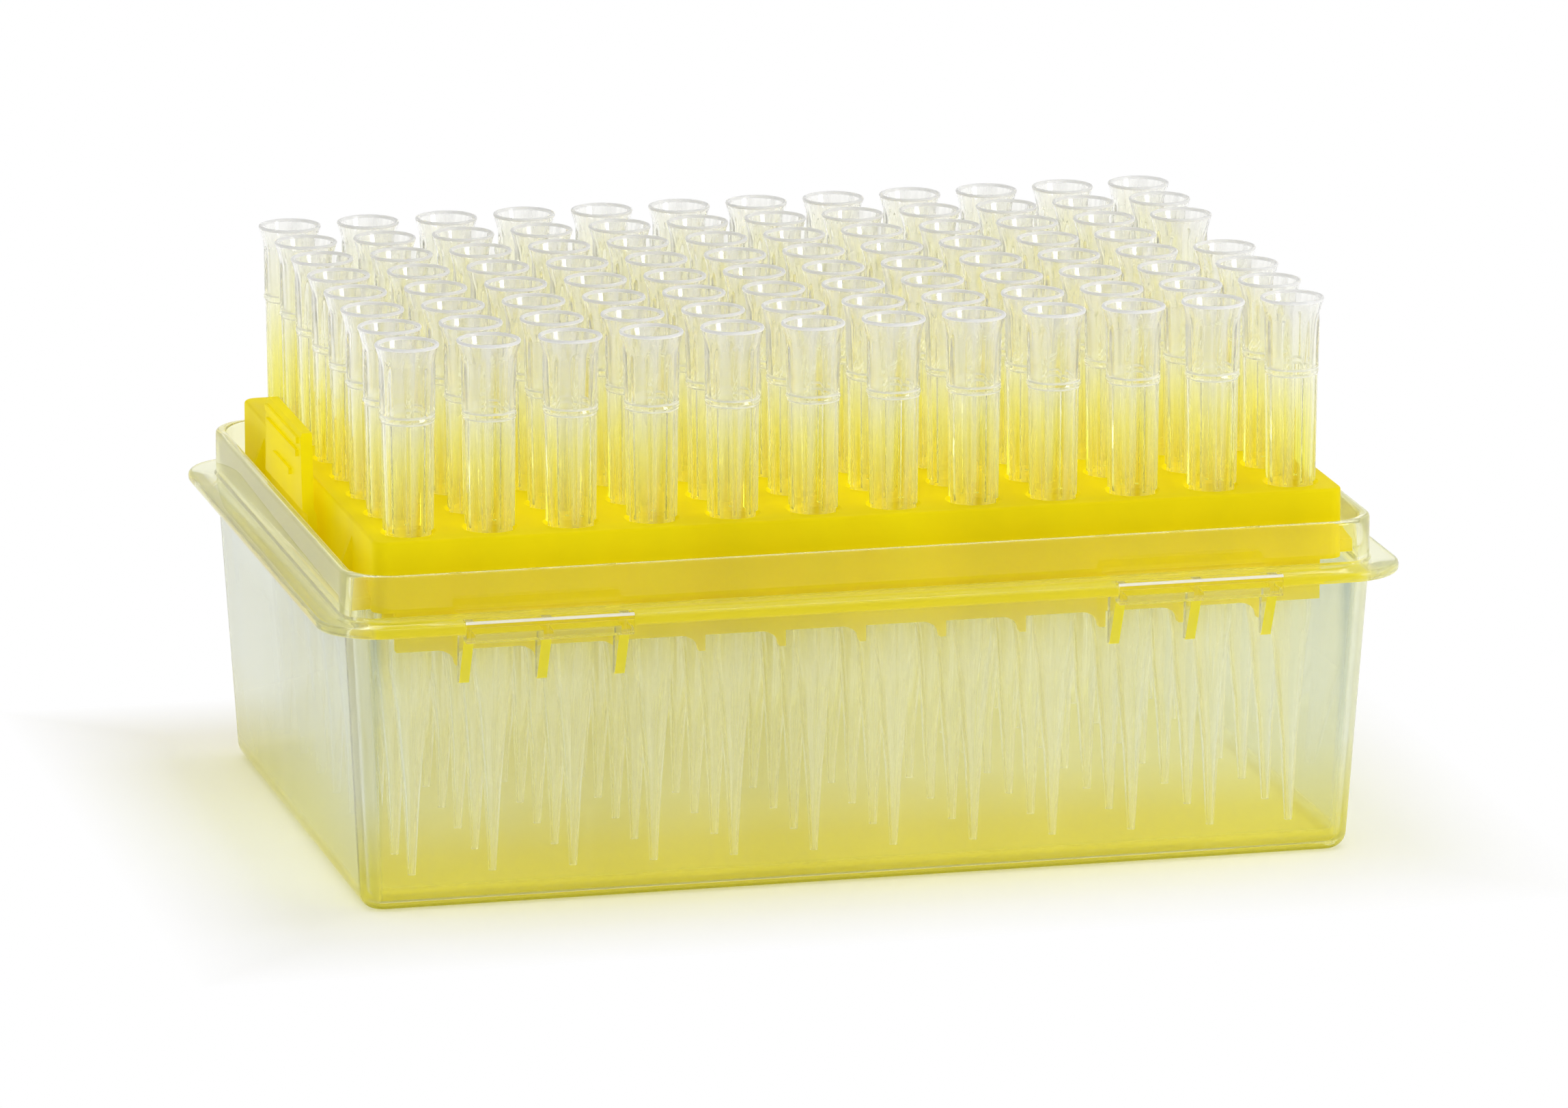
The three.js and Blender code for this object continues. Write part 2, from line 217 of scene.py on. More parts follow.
# Rack
YELLOW_DEEP = (0.77, 0.665, 0.002)
YELLOW_BRIGHT = (0.88, 0.78, 0.002)
YELLOW_GLOW = 0.5
YELLOW_THROUGH = (0.95, 0.88, 0.06)
YELLOW_LAMP_TINT = (0.92, 0.90, 0.42)
YELLOW_ROUGHNESS = (0.36, 0.46)
YELLOW_SPECULAR = 0.08
YELLOW_CLOUDS = (90.0, 0.4)
YELLOW_GRAIN = 2600.0
GRAIN_STRENGTH = 0.06
GRAIN_DEPTH = 0.2 * MM

# Tray: its tints and milk differ by place on the part, as tray_places finds it, and several of
# them
# # are painted light. The walls' haze takes its colour from its height, painted yellow low down as
# a
# # painted glow of the rack's light and paler higher up, and fades from HAZE_FADE_START to the
# flange.
TRAY_TINTS = ((0.90, 0.915, 0.82), (0.94, 0.955, 0.87))
TRAY_LAMP_TINT = (0.98, 0.98, 0.93)
TRAY_STREAKS = (60.0, 0.12)
TRAY_HAZE = (0.12, 0.20)
HAZE_AND_PAINTED_GLOW_COLOURS = ((0.90, 0.84, 0.20), (0.97, 0.98, 0.82))
HAZE_RUN = (4.0 * MM, 13.0 * MM)
HAZE_FADE_START = 24.0 * MM
HAZE_TOP_SHARE = 0.1
# The frosted floor's colour is painted yellow light from the rack: deep at the front, paler at the
# back.
FLOOR_FROST = 0.8
FROST_PAINTED_GLOW_FRONT = (0.92, 0.84, 0.05)
FROST_PAINTED_GLOW_BACK = (0.96, 0.94, 0.45)
FROST_RUN = (20.0 * MM, 40.0 * MM)
FROST_INSET = WALL * 0.85
FROST_TOP = (FLOOR_THICKNESS * 1.2, FLOOR_THICKNESS * 2.5)
# Painted shade: dark olive milk in the rounding at the tray's foot, where it meets the floor.
FOOT_PAINTED_SHADE_COLOUR = (0.40, 0.39, 0.02)
FOOT_SHADE_MILK = 0.65
FOOT_TOP = (FOOT_ROUND / 4, FOOT_ROUND * 0.65)
# Painted highlight: milk in the body's upright corners, for their pale edge lines.
CORNER_PAINTED_HIGHLIGHT = 0.45
RIM_HAZE = 0.01
# Painted glow: the flange and rim are tinted yellow for the rack's light seen through them.
RIM_PAINTED_GLOW_TINT = (0.97, 0.96, 0.68)
# Painted shade: the end walls' tint is darker and greyer than the rest of the body.
END_WALL_PAINTED_SHADE_TINT = (0.67, 0.73, 0.73)
# Painted glow: yellow-green milk at the rim's ends, for the rack that shows behind them.
RIM_END_PAINTED_GLOW_MILK = 0.22
RIM_END_PAINTED_GLOW_COLOUR = (0.84, 0.86, 0.50)
END_BLUR = 1.0 * MM
SIDE_RUN = (body_y - 3.0 * MM, body_y - 2.0 * MM)
# Painted glow: yellow milk on the flange's long sides, for the rack's light.
FLANGE_PAINTED_GLOW_DROP = 0.4 * MM
FLANGE_PAINTED_GLOW_SHARE = 0.45
# Painted glow: yellow milk in the fins and on the flange's long sides, for the rack's light.
FIN_AND_FLANGE_PAINTED_GLOW = (0.86, 0.78, 0.06)
FIN_PAINTED_GLOW_SHARE = 0.9
FIN_SIDE_PAINTED_GLOW_SHARE = 0.12
FIN_PROUD = 0.4 * MM
# Painted highlight: white milk along the tops of the lips.
LIP_HIGHLIGHT_COLOUR = (0.97, 0.97, 0.97)
LIP_PAINTED_HIGHLIGHT_MILK = 0.9
LIP_EDGE = 0.1 * MM

# A fin's face is a narrow one where its normal's X is under FIN_FACING. A corner's painted
# highlight,
# # a band of milk, starts and is full at the two products of its normal's X and Y in
# CORNER_FACING.
FIN_FACING = 0.5
CORNER_FACING = (0.05, 0.3)

# Tips: the tints and the milk's colours are for the heights that tip_plastic names. From the plate
# up to the ring they are yellow, a painted glow of the rack's light, and near neutral elsewhere.
TIP_TINTS_AND_PAINTED_GLOW = ((0.98, 0.98, 0.96), (0.98, 0.975, 0.88), (0.955, 0.91, 0.18), (0.97, 0.945, 0.46),
             (0.98, 0.975, 0.83), (0.98, 0.98, 0.96))
TIP_MILK_AND_PAINTED_GLOW = ((0.94, 0.94, 0.90), (0.92, 0.92, 0.80), (0.90, 0.88, 0.48), (0.91, 0.90, 0.68),
            (0.90, 0.90, 0.82), (0.92, 0.92, 0.92))
TIP_STREAKS = (900.0, 0.05)
TIP_HAZE = (0.02, 0.27)
TIP_HAZE_RUN = (0.4, 0.65)
# Painted highlights: milk in a thin band at the mouth's rim and in two thin lines either side of
# the ring.
MOUTH_HIGHLIGHT_HEIGHT = 0.35 * MM
PAINTED_HIGHLIGHT_MILK = 0.8
RING_LINE = 0.18 * MM
RING_LINE_GAP = 0.7 * MM

# Floor, light and camera
FLOOR_COLOUR = (0.97, 0.97, 0.97)
FLOOR_SIZE = 3.0
FLOOR_FADE = (2.0 * MM, 18.0 * MM)
AMBIENT = 0.6
MIRRORED_FRONT = 0.05
MIRRORED_BACK = 1.0
MIRRORED_RUN = (-0.95, -0.3)
MIRRORED_FLOOR_RUN = (-2 * cad_high.y, 0.0)
TOP_LAMPS_X = (-0.55, -0.15, 0.25, 0.65)
TOP_LAMPS_YZ = (0.05, 1.0)
TOP_LAMP_SIZE = (0.12, 0.6)
TOP_POWER = 2.5
OTHER_LAMPS = (
    # name, place, size and power
    ("key_lamp", (0.42, -0.42, 0.25), (0.2, 0.14), 1.25),
    ("fill_lamp", (-0.9, -0.5, 0.5), (0.3, 0.4), 0.05),
    ("back_lamp", (0.2, 0.9, 0.9), (0.6, 0.15), 0.5),
)
CAMERA_PLACE = (-0.3072, -1.2477, 0.3392)
CAMERA_AIM = (0.0, 0.0, 0.0285)
SENSOR_WIDTH = 36.0
LENS = 272.0

# ----------------------------------------------------------- mesh helpers


def make_object(name, vertices, faces):
    """An object from its vertices and faces, with its normals facing out."""
    mesh = bpy.data.meshes.new(name)
    mesh.from_pydata([tuple(v) for v in vertices], [], faces)
    bm = bmesh.new()
    bm.from_mesh(mesh)
    bmesh.ops.recalc_face_normals(bm, faces=bm.faces)
    bm.to_mesh(mesh)
    bm.free()
    made = bpy.data.objects.new(name, mesh)
    bpy.context.scene.collection.objects.link(made)
    return made


def loft(name, rings, closed=False):
    """A solid through rings of points: its ends capped, or joined if it is closed."""
    count = len(rings[0])
    vertices = [point for ring in rings for point in ring]
    faces = []
    for level in range(len(rings) if closed else len(rings) - 1):
        low, high = level * count, (level + 1) % len(rings) * count
        for i in range(count):
            j = (i + 1) % count
            faces.append((low + i, low + j, high + j, high + i))
    if not closed:
        faces.append(tuple(reversed(range(count))))
        faces.append(tuple((len(rings) - 1) * count + i for i in range(count)))
    return make_object(name, vertices, faces)


def round_ring(half_x, half_y, corner, z):
    """The points of a rounded rectangle at height z."""
    points = []
    for quarters, (side_x, side_y) in enumerate(((1, 1), (-1, 1), (-1, -1), (1, -1))):
        for step in range(CORNER_STEPS + 1):
            turn = math.pi / 2 * (quarters + step / CORNER_STEPS)
            x = side_x * (half_x - corner) + corner * math.cos(turn)
            y = side_y * (half_y - corner) + corner * math.sin(turn)
            points.append((x, y, z))
    return points


def block(name, low, high):
    """A box between two corners."""
    points = [(x, y, z) for z in (low[2], high[2]) for x, y in (
        (low[0], low[1]), (high[0], low[1]), (high[0], high[1]), (low[0], high[1]))]
    return loft(name, [points[:4], points[4:]])


def fin(name, outline, x, thickness):
    """A plate across X, from its outline of (y, z) points."""
    faces = (x - thickness / 2, x + thickness / 2)
    return loft(name, [[(face, y, z) for y, z in outline] for face in faces])


def end_fin(name, outline, y, thickness):
    """A plate across Y, from its outline of (x, z) points."""
    faces = (y - thickness / 2, y + thickness / 2)
    return loft(name, [[(x, face, z) for x, z in outline] for face in faces])


def round_post(name, x, y, profile):
    """An upright solid of revolution from (radius, z) points."""
    turns = [2 * math.pi * i / SEAT_STEPS for i in range(SEAT_STEPS)]
    return loft(name, [
        [(x + r * math.cos(t), y + r * math.sin(t), z) for t in turns] for r, z in profile])


def join_meshes(objects):
    """Separate solids as one object, for use as one boolean tool."""
    bm = bmesh.new()
    for item in objects:
        bm.from_mesh(item.data)
        bpy.data.objects.remove(item)
    target = bpy.data.objects.new("tool", bpy.data.meshes.new("tool"))
    bm.to_mesh(target.data)
    bm.free()
    bpy.context.scene.collection.objects.link(target)
    return target


def combine(target, tools, operation):
    """Joins the tools to the target, or cuts them out of it."""
    for tool in tools:
        modifier = target.modifiers.new("combine", "BOOLEAN")
        modifier.solver = "MANIFOLD"
        modifier.operation = operation
        modifier.object = tool
        graph = bpy.context.evaluated_depsgraph_get()
        mesh = bpy.data.meshes.new_from_object(target.evaluated_get(graph))
        target.modifiers.clear()
        target.data = mesh
        bpy.data.objects.remove(tool)
    return target


def smooth_by_angle(target):
    """Smooth shading, with the edges sharper than SMOOTH_ANGLE kept sharp."""
    target.data.polygons.foreach_set("use_smooth", [True] * len(target.data.polygons))
    target.data.set_sharp_from_angle(angle=SMOOTH_ANGLE)


def finish_piece(piece, material, cad_node):
    """Gives a piece its material and puts it in its CAD node's place."""
    piece.data.materials.clear()
    piece.data.materials.append(material)
    smooth_by_angle(piece)
    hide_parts(cad_node)
    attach(piece, "root")


def seat_centres():
    """(seat name, x, y) of every seat of the grid."""
    for row, letter in enumerate(ROWS):
        for column in range(COLUMNS):
            x = first_seat.x + column * PITCH
            y = last_seat.y - row * PITCH
            yield f"{letter}{column + 1:02d}", x, y


# ------------------------------------------------------------------- tray


def inset_ring(half_x, half_y, corner, inset, z):
    """A rounded rectangle drawn in by the inset."""
    return round_ring(half_x - inset, half_y - inset, corner - inset, z)


def body_ring(z, inset):
    """A ring of the drafted body, drawn in from its outer face."""
    lean = DRAFT / shelf_top * (shelf_top - z)
    return round_ring(body_x - lean - inset, body_y - lean - inset, BODY_CORNER - inset, z)


def quarter(radius, steps=EDGE_STEPS):
    """(across, along) of a quarter round, from (radius, 0) to (0, radius)."""
    turns = [math.pi / 2 * i / steps for i in range(steps + 1)]
    return [(radius * (1 - math.sin(t)), radius * (1 - math.cos(t))) for t in turns]


def tray_shell():
    """The tray without its fins and lips: one wall that runs from the underside, over the
    rim, to the inside of the floor."""
    flange = (flange_x, flange_y, FLANGE_CORNER)
    rim = (rim_x, rim_y, RIM_CORNER)
    rings = [body_ring(up, inset) for inset, up in quarter(FOOT_ROUND, 2 * EDGE_STEPS)]
    rings.append(body_ring(flange_bottom, 0))
    rings += [inset_ring(*flange, inset, flange_bottom + up)
              for inset, up in quarter(EDGE_ROUND)]
    rings += [inset_ring(*flange, inset, shelf_top - down)
              for inset, down in reversed(quarter(EDGE_ROUND))]
    rings.append(inset_ring(*rim, -EDGE_ROUND / 2, shelf_top))
    rings.append(inset_ring(*rim, 0, shelf_top + EDGE_ROUND / 2))
    rings += [inset_ring(*rim, inset, rim_top - down)
              for inset, down in reversed(quarter(EDGE_ROUND))]
    rings += [inset_ring(*rim, WALL - inset, rim_top - down)
              for inset, down in quarter(EDGE_ROUND)]
    rings.append(inset_ring(*rim, WALL, shelf_top))
    rings.append(body_ring(shelf_top, WALL - EDGE_ROUND / 2))
    rings.append(body_ring(shelf_top - EDGE_ROUND / 2, WALL))
    rings += [body_ring(FLOOR_THICKNESS + up, WALL + inset)
              for inset, up in reversed(quarter(INNER_ROUND, 2 * EDGE_STEPS))]
    return loft("clear_tray", rings)


def flange_fins():
    """The fins that hold up the flange, three in each of four groups."""
    fin_bottom = flange_bottom - FIN_HEIGHT
    root_top = body_y - WELD
    root_bottom = root_top - DRAFT / shelf_top * (shelf_top - fin_bottom)
    fins = []
    for side in (-1, 1):
        outline = [(side * y, z) for y, z in (
            (root_bottom, fin_bottom),
            (root_bottom + WELD + FIN_END, fin_bottom),
            (flange_y - FIN_END, flange_bottom + WELD),
            (root_top, flange_bottom + WELD),
        )]
        for group in (-1, 1):
            for i in (-1, 0, 1):
                x = group * FIN_OFFSET + i * FIN_PITCH
                fins.append(fin("fin", outline, x, FIN_THICKNESS))
    return join_meshes(fins)


def flange_lips():
    """The thicker lips on the flange's edge, one over each group of fins."""
    half_span = FIN_PITCH + FIN_THICKNESS / 2 + LIP_OVERHANG
    lips = []
    for side in (-1, 1):
        near, far = sorted((side * (flange_y - FLANGE_THICKNESS), side * tray_high.y))
        for group in (-1, 1):
            x = group * FIN_OFFSET
            lips.append(block("lip", (x - half_span, near, flange_bottom - LIP_DROP),
                              (x + half_span, far, shelf_top + LIP_RISE)))
    return join_meshes(lips)


def build_tray(material):
    """The clear tray, as one piece."""
    tray = combine(tray_shell(), [flange_fins(), flange_lips()], "UNION")
    finish_piece(tray, material, "base_tray")


# ------------------------------------------------------------------- rack


def skirt_and_plate():
    """The plate and its skirt: one wall from the plate's underside to its top."""
    outer = (rack_half_x, rack_half_y, SKIRT_CORNER)
    rings = [
        inset_ring(*outer, SKIRT_WALL, plate_bottom),
        inset_ring(*outer, SKIRT_WALL, skirt_bottom),
        inset_ring(*outer, 0, skirt_bottom),
    ]
    rings += [inset_ring(*outer, inset, plate_top - down)
              for inset, down in reversed(quarter(SKIRT_ROUND))]
    return loft("yellow_rack", rings)


def sleeves():
    """A tapered post under every seat, before it is bored."""
    profile = [(SLEEVE_END_RADIUS, skirt_bottom - SLEEVE_DROP),
               (SLEEVE_TOP_RADIUS, plate_bottom + WELD)]
    return join_meshes([round_post("sleeve", x, y, profile) for _, x, y in seat_centres()])


def bores():
    """What is cut from the sleeves, with a small lead-in at the plate's top."""
    profile = [
        (SEAT_RADIUS, skirt_bottom - SLEEVE_DROP - OVERRUN),
        (SEAT_RADIUS, plate_top - SKIRT_ROUND),
        (SEAT_RADIUS + SKIRT_ROUND, plate_top),
        (SEAT_RADIUS + SKIRT_ROUND, plate_top + OVERRUN),
    ]
    return join_meshes([round_post("bore", x, y, profile) for _, x, y in seat_centres()])


def web_places():
    """The X of each web, between two columns of sleeves."""
    return [first_seat.x + (column - 0.5) * PITCH for column in range(1, COLUMNS)]


def column_webs():
    """The upright webs across the rack, between the columns of sleeves."""
    half_y = rack_half_y - SKIRT_WALL + WELD
    return join_meshes([
        block("web", (x - WEB_THICKNESS / 2, -half_y, skirt_bottom - WEB_DROP),
              (x + WEB_THICKNESS / 2, half_y, plate_bottom + WELD)) for x in web_places()])


def inner_walls():
    """The walls inside the skirt's long sides, which reach down into the tray."""
    outer = rack_half_y - SKIRT_WALL + WELD
    half_x = COLUMNS / 2 * PITCH - INNER_WALL_SHORT
    walls = []
    for side in (-1, 1):
        near, far = sorted((side * (outer - SKIRT_WALL), side * outer))
        walls.append(block("wall", (-half_x, near, skirt_bottom - WEB_DROP),
                           (half_x, far, plate_bottom + WELD)))
    return join_meshes(walls)


def web_hooks():
    """A hook with one hollow edge at each end of a web, where it meets the wall."""
    middle = rack_half_y - SKIRT_WALL + WELD - SKIRT_WALL / 2
    edge = WEB_THICKNESS / 2
    hook_end = skirt_bottom - HOOK_DROP
    outline = [(edge, skirt_bottom), (edge, hook_end)]
    outline += [(-along - edge / 2, hook_end + (HOOK_LENGTH - across) * HOOK_SLOPE)
                for across, along in quarter(HOOK_LENGTH)]
    outline.append((-edge / 2 - HOOK_LENGTH, skirt_bottom))
    hooks = []
    for side in (-1, 1):
        for x in web_places():
            points = [(x - side * across, z) for across, z in outline]
            hooks.append(end_fin("hook", points, side * middle, SKIRT_WALL - WELD))
    return join_meshes(hooks)


def end_feet(end):
    """The foot at one end of the rack, with its gussets."""
    half_y = rack_half_y - FOOT_INSET
    inner = rack_half_x - WELD
    foot_top = skirt_bottom + FOOT_THICKNESS
    low, high = sorted((end * inner, end * foot_x))
    foot = block("foot", (low, -half_y, skirt_bottom), (high, half_y, foot_top))
    outline = [(end * x, z) for x, z in (
        (inner, skirt_bottom + WELD),
        (foot_x - WELD, skirt_bottom + WELD),
        (foot_x - WELD, foot_top),
        (rack_half_x, skirt_bottom + GUSSET_HEIGHT),
        (inner, skirt_bottom + GUSSET_HEIGHT),
    )]
    gussets = [end_fin("gusset", outline, side * GUSSET_OFFSET, GUSSET_THICKNESS)
               for side in (-1, 1)]
    return [foot, join_meshes(gussets)]


def grip_tab(end):
    """One grip tab: upright behind the tray's rim, stepped out above it, and narrower
    towards its rounded top."""
    levels = (
        (skirt_bottom, 0),
        (rim_top + SHELF_DROP, 0),
        (rim_top + SHELF_DROP + TAB_STEP, TAB_STEP),
        (rack_high.z - EDGE_ROUND, TAB_STEP),
        (rack_high.z, TAB_STEP - EDGE_ROUND / 2),
    )
    rings = []
    for z, step in levels:
        share = (z - skirt_bottom) / (rack_high.z - skirt_bottom)
        half_y = TAB_HALF_BASE + (TAB_HALF_TOP - TAB_HALF_BASE) * share
        half_y -= EDGE_ROUND / 2 if z == rack_high.z else 0
        inner = end * (foot_x + min(step, TAB_STEP / 2) - TAB_THICKNESS)
        outer = end * (foot_x + step)
        rings.append([(inner, -half_y, z), (outer, -half_y, z),
                      (outer, half_y, z), (inner, half_y, z)])
    return loft("tab", rings)


def tab_ridges(end):
    """The ridges on a tab's outer face: two long ones at its top, one short one below."""
    face = foot_x + TAB_STEP
    low, high = sorted((end * (face - WELD), end * (face + RIDGE_DEPTH)))
    ridges = []
    for drop, half_length in RIDGES:
        z = rack_high.z - drop
        ridges.append(block("ridge", (low, -half_length, z - RIDGE_HEIGHT / 2),
                            (high, half_length, z + RIDGE_HEIGHT / 2)))
    return join_meshes(ridges)


def build_rack(material):
    """The yellow rack, as one piece."""
    tools = [sleeves(), column_webs(), inner_walls(), web_hooks()]
    for end in (-1, 1):
        tools += [*end_feet(end), grip_tab(end), tab_ridges(end)]
    rack = combine(skirt_and_plate(), tools, "UNION")
    combine(rack, [bores()], "DIFFERENCE")
    finish_piece(rack, material, "tip_rack")


# ------------------------------------------------------------------- tips


def tip_turns():
    """(turn, is on a rib) round a tip: two turns on each rib, and those in the gap from
    its foot to the next rib's."""
    turns = []
    gap = 2 * math.pi / RIBS - 2 * RIB_FOOT_ANGLE
    for rib in range(RIBS):
        middle = 2 * math.pi * rib / RIBS
        turns += [(middle - RIB_TOP_ANGLE, True), (middle + RIB_TOP_ANGLE, True)]
        turns += [(middle + RIB_FOOT_ANGLE + gap * i / RIB_GAP_STEPS, False)
                  for i in range(RIB_GAP_STEPS + 1)]
    return turns


def lower_profile():
    """(core radius, rib radius, z) up the outside of a tip, from its end to its ribs."""
    nozzle = tip_low.z + NOZZLE_HEIGHT
    shoulder = tip_low.z + SHOULDER_HEIGHT
    rounds = [
        (END_RADIUS, tip_low.z),
        (NOZZLE_MIDDLE_RADIUS, tip_low.z + NOZZLE_MIDDLE_HEIGHT),
        (NOZZLE_RADIUS, nozzle),
        (NOZZLE_EDGE_RADIUS, nozzle + NOZZLE_EDGE),
        (SHOULDER_EDGE_RADIUS, shoulder - SHOULDER_EDGE),
        (SHOULDER_RADIUS, shoulder),
        (BODY_RADIUS, plate_top),
        (BODY_RADIUS, plate_top + SHELF_DROP - WELD),
    ]
    return [(r, r, z) for r, z in rounds]


def ribbed_profile(ring, flare):
    """(core radius, rib radius, z) on up the ribs, over the ring and up the neck."""
    crest = RING_RADIUS + RING_CREST
    crest_edge = RING_WIDTH * RING_CREST_SHARE
    return [
        (BODY_RADIUS, RIB_FOOT_RADIUS, plate_top + SHELF_DROP),
        (RIB_TOP_CORE, RIB_RADIUS, ring - RING_WIDTH),
        (RING_RADIUS, RING_RADIUS, ring - crest_edge),
        (crest, crest, ring),
        (RING_RADIUS, RING_RADIUS, ring + crest_edge),
        (RIB_RADIUS, RIB_RADIUS + NECK_RIB, ring + RING_WIDTH * RING_TOP_SHARE),
        (NECK_RADIUS, NECK_RADIUS + NECK_RIB, flare),
    ]


def mouth_profile(flare, rim):
    """(radius, radius, z) on up the flare and over the mouth's round rim."""
    mouth = tip_high.z
    points = []
    for i in range(1, EDGE_STEPS + 1):
        share = i / EDGE_STEPS
        r = NECK_RADIUS + (MOUTH_RADIUS - NECK_RADIUS) * share ** FLARE_POWER
        points.append((r, r, flare + (FLARE_DEPTH - rim) * share))
    for i in range(1, EDGE_STEPS):
        turn = math.pi * i / EDGE_STEPS
        r = MOUTH_RADIUS - rim * (1 - math.cos(turn))
        points.append((r, r, mouth - rim + rim * math.sin(turn)))
    return points


def inner_profile(ring, flare, rim):
    """(radius, radius, z) down the inside of a tip."""
    rounds = [
        (MOUTH_BORE, tip_high.z - rim),
        (NECK_BORE, flare),
        (RIB_TOP_CORE - TIP_WALL, ring),
        (BODY_RADIUS - TIP_WALL, plate_top),
        (SHOULDER_RADIUS - TIP_WALL, tip_low.z + SHOULDER_HEIGHT),
        (NOZZLE_RADIUS - TIP_WALL, tip_low.z + NOZZLE_HEIGHT),
        (NOZZLE_MIDDLE_RADIUS - TIP_WALL, tip_low.z + NOZZLE_MIDDLE_HEIGHT),
        (END_BORE, tip_low.z),
    ]
    return [(r, r, z) for r, z in rounds]


def tip_profile():
    """(core radius, rib radius, z) up the outside of a tip and down its inside."""
    ring = tip_high.z - RING_DEPTH
    flare = tip_high.z - FLARE_DEPTH
    rim = (MOUTH_RADIUS - MOUTH_BORE) / 2
    return [*lower_profile(), *ribbed_profile(ring, flare), *mouth_profile(flare, rim),
            *inner_profile(ring, flare, rim)]


def tip_mesh():
    """A tip on the Z axis, with ribs from the plate up to its ring."""
    rings = []
    for core, rib, z in tip_profile():
        places = [(rib if on_rib else core, turn) for turn, on_rib in tip_turns()]
        rings.append([(r * math.cos(turn), r * math.sin(turn), z) for r, turn in places])
    pattern = loft("tip", rings, closed=True)
    smooth_by_angle(pattern)
    mesh = pattern.data
    bpy.data.objects.remove(pattern)
    return mesh


def cad_node_of(seat):
    """The CAD node that holds the tip at a seat."""
    column = int(seat[1:])
    if column in (1, COLUMNS):
        return f"tip_{seat}"
    first = column - column % 2
    return f"tips_{seat[0]}{first:02d}_{seat[0]}{first + 1:02d}"


def build_tips(material):
    """The tips, which are so clear that lamps light what is behind them in full."""
    mesh = tip_mesh()
    mesh.materials.append(material)
    turns = random.Random(TURN_SEED)
    for seat, x, y in seat_centres():
        if seat == EMPTY_SEAT:
            continue
        tip = bpy.data.objects.new(f"clear_tip_{seat}", mesh)
        bpy.context.scene.collection.objects.link(tip)
        tip.visible_shadow = False
        tip.location = (x, y, 0)
        tip.rotation_euler.z = turns.uniform(0, 2 * math.pi / RIBS)
        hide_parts(cad_node_of(seat))
        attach(tip, "root")


# -------------------------------------------------------------- materials


def new_tree(owner):
    """An empty node tree for a material or a world."""
    owner.use_nodes = True
    owner.node_tree.nodes.clear()
    return owner.node_tree


def add_node(tree, kind, inputs=None, **settings):
    """A node with its settings, and its inputs set to values or linked to sockets."""
    node = tree.nodes.new(kind)
    for name, value in settings.items():
        setattr(node, name, value)
    sockets = {socket.identifier: socket for socket in node.inputs}
    for name, value in (inputs or {}).items():
        if isinstance(value, bpy.types.NodeSocket):
            tree.links.new(value, sockets[name])
        else:
            sockets[name].default_value = value
    return node


def coordinates(tree, source="Object", mirrored=False):
    """X, Y and Z of a point of the object or of another source, without signs if mirrored."""
    place = add_node(tree, "ShaderNodeTexCoord").outputs[source]
    if mirrored:
        place = add_node(tree, "ShaderNodeVectorMath", {"Vector": place},
                         operation="ABSOLUTE").outputs["Vector"]
    split = add_node(tree, "ShaderNodeSeparateXYZ", {"Vector": place}).outputs
    return split["X"], split["Y"], split["Z"]


def object_noise(tree, scale, upright=1.0, detail=3.0):
    """Noise fixed to the object, with scale in waves per metre and upright times as many
    waves along Z."""
    place = add_node(tree, "ShaderNodeTexCoord")
    mapping = add_node(tree, "ShaderNodeMapping",
                       {"Vector": place.outputs["Object"], "Scale": (1, 1, upright)})
    noise = add_node(tree, "ShaderNodeTexNoise",
                     {"Vector": mapping.outputs["Vector"], "Scale": scale, "Detail": detail})
    return noise.outputs["Fac"]


def spread(tree, factor, low, high, start=0.35, end=0.65):
    """A number that runs from low to high as the factor runs from start to end, where most
    noise lies if they are not given."""
    node = add_node(tree, "ShaderNodeMapRange", {
        "Value": factor, "From Min": start, "From Max": end, "To Min": low, "To Max": high})
    return node.outputs["Result"]


def maths(tree, operation, first, second, clamp=False):
    """Two numbers put through a Math node."""
    node = add_node(tree, "ShaderNodeMath", {"Value": first, "Value_001": second},
                    operation=operation, use_clamp=clamp)
    return node.outputs["Value"]


def multiplied(tree, first, *others):
    """The product of two or more numbers."""
    for other in others:
        first = maths(tree, "MULTIPLY", first, other)
    return first


def blend(tree, factor, low, high):
    """A colour between two, by a factor from 0 to 1."""
    low, high = (colour if isinstance(colour, bpy.types.NodeSocket) else (*colour, 1)
                 for colour in (low, high))
    node = add_node(tree, "ShaderNodeMix", {
        "Factor_Float": factor, "A_Color": low, "B_Color": high}, data_type="RGBA")
    return next(socket for socket in node.outputs if socket.identifier == "Result_Color")


def light_path(tree, name):
    """One fact about the ray of light that meets a surface."""
    return add_node(tree, "ShaderNodeLightPath").outputs[name]


def mix_shaders(tree, factor, first, second):
    """A surface between two, by a factor from 0 to 1."""
    inputs = {"Fac": factor, "Shader": first, "Shader_001": second}
    return add_node(tree, "ShaderNodeMixShader", inputs).outputs["Shader"]


def put_out(tree, surface):
    """Makes a surface the material's own."""
    add_node(tree, "ShaderNodeOutputMaterial", {"Surface": surface})


def let_lamps_through(tree, surface, lamp_tint):
    """A surface that lets lamps light what is behind it, in a tint."""
    through = add_node(tree, "ShaderNodeBsdfTransparent", {"Color": (*lamp_tint, 1)})
    return mix_shaders(tree, light_path(tree, "Is Shadow Ray"), surface, through.outputs["BSDF"])


def see_through(tree, tint):
    """Smooth plastic that bends light, in a tint."""
    return add_node(tree, "ShaderNodeBsdfPrincipled", {
        "Base Color": tint,
        "Roughness": 0.0,
        "IOR": CLEAR_IOR,
        "Transmission Weight": 1.0,
    }).outputs["BSDF"]


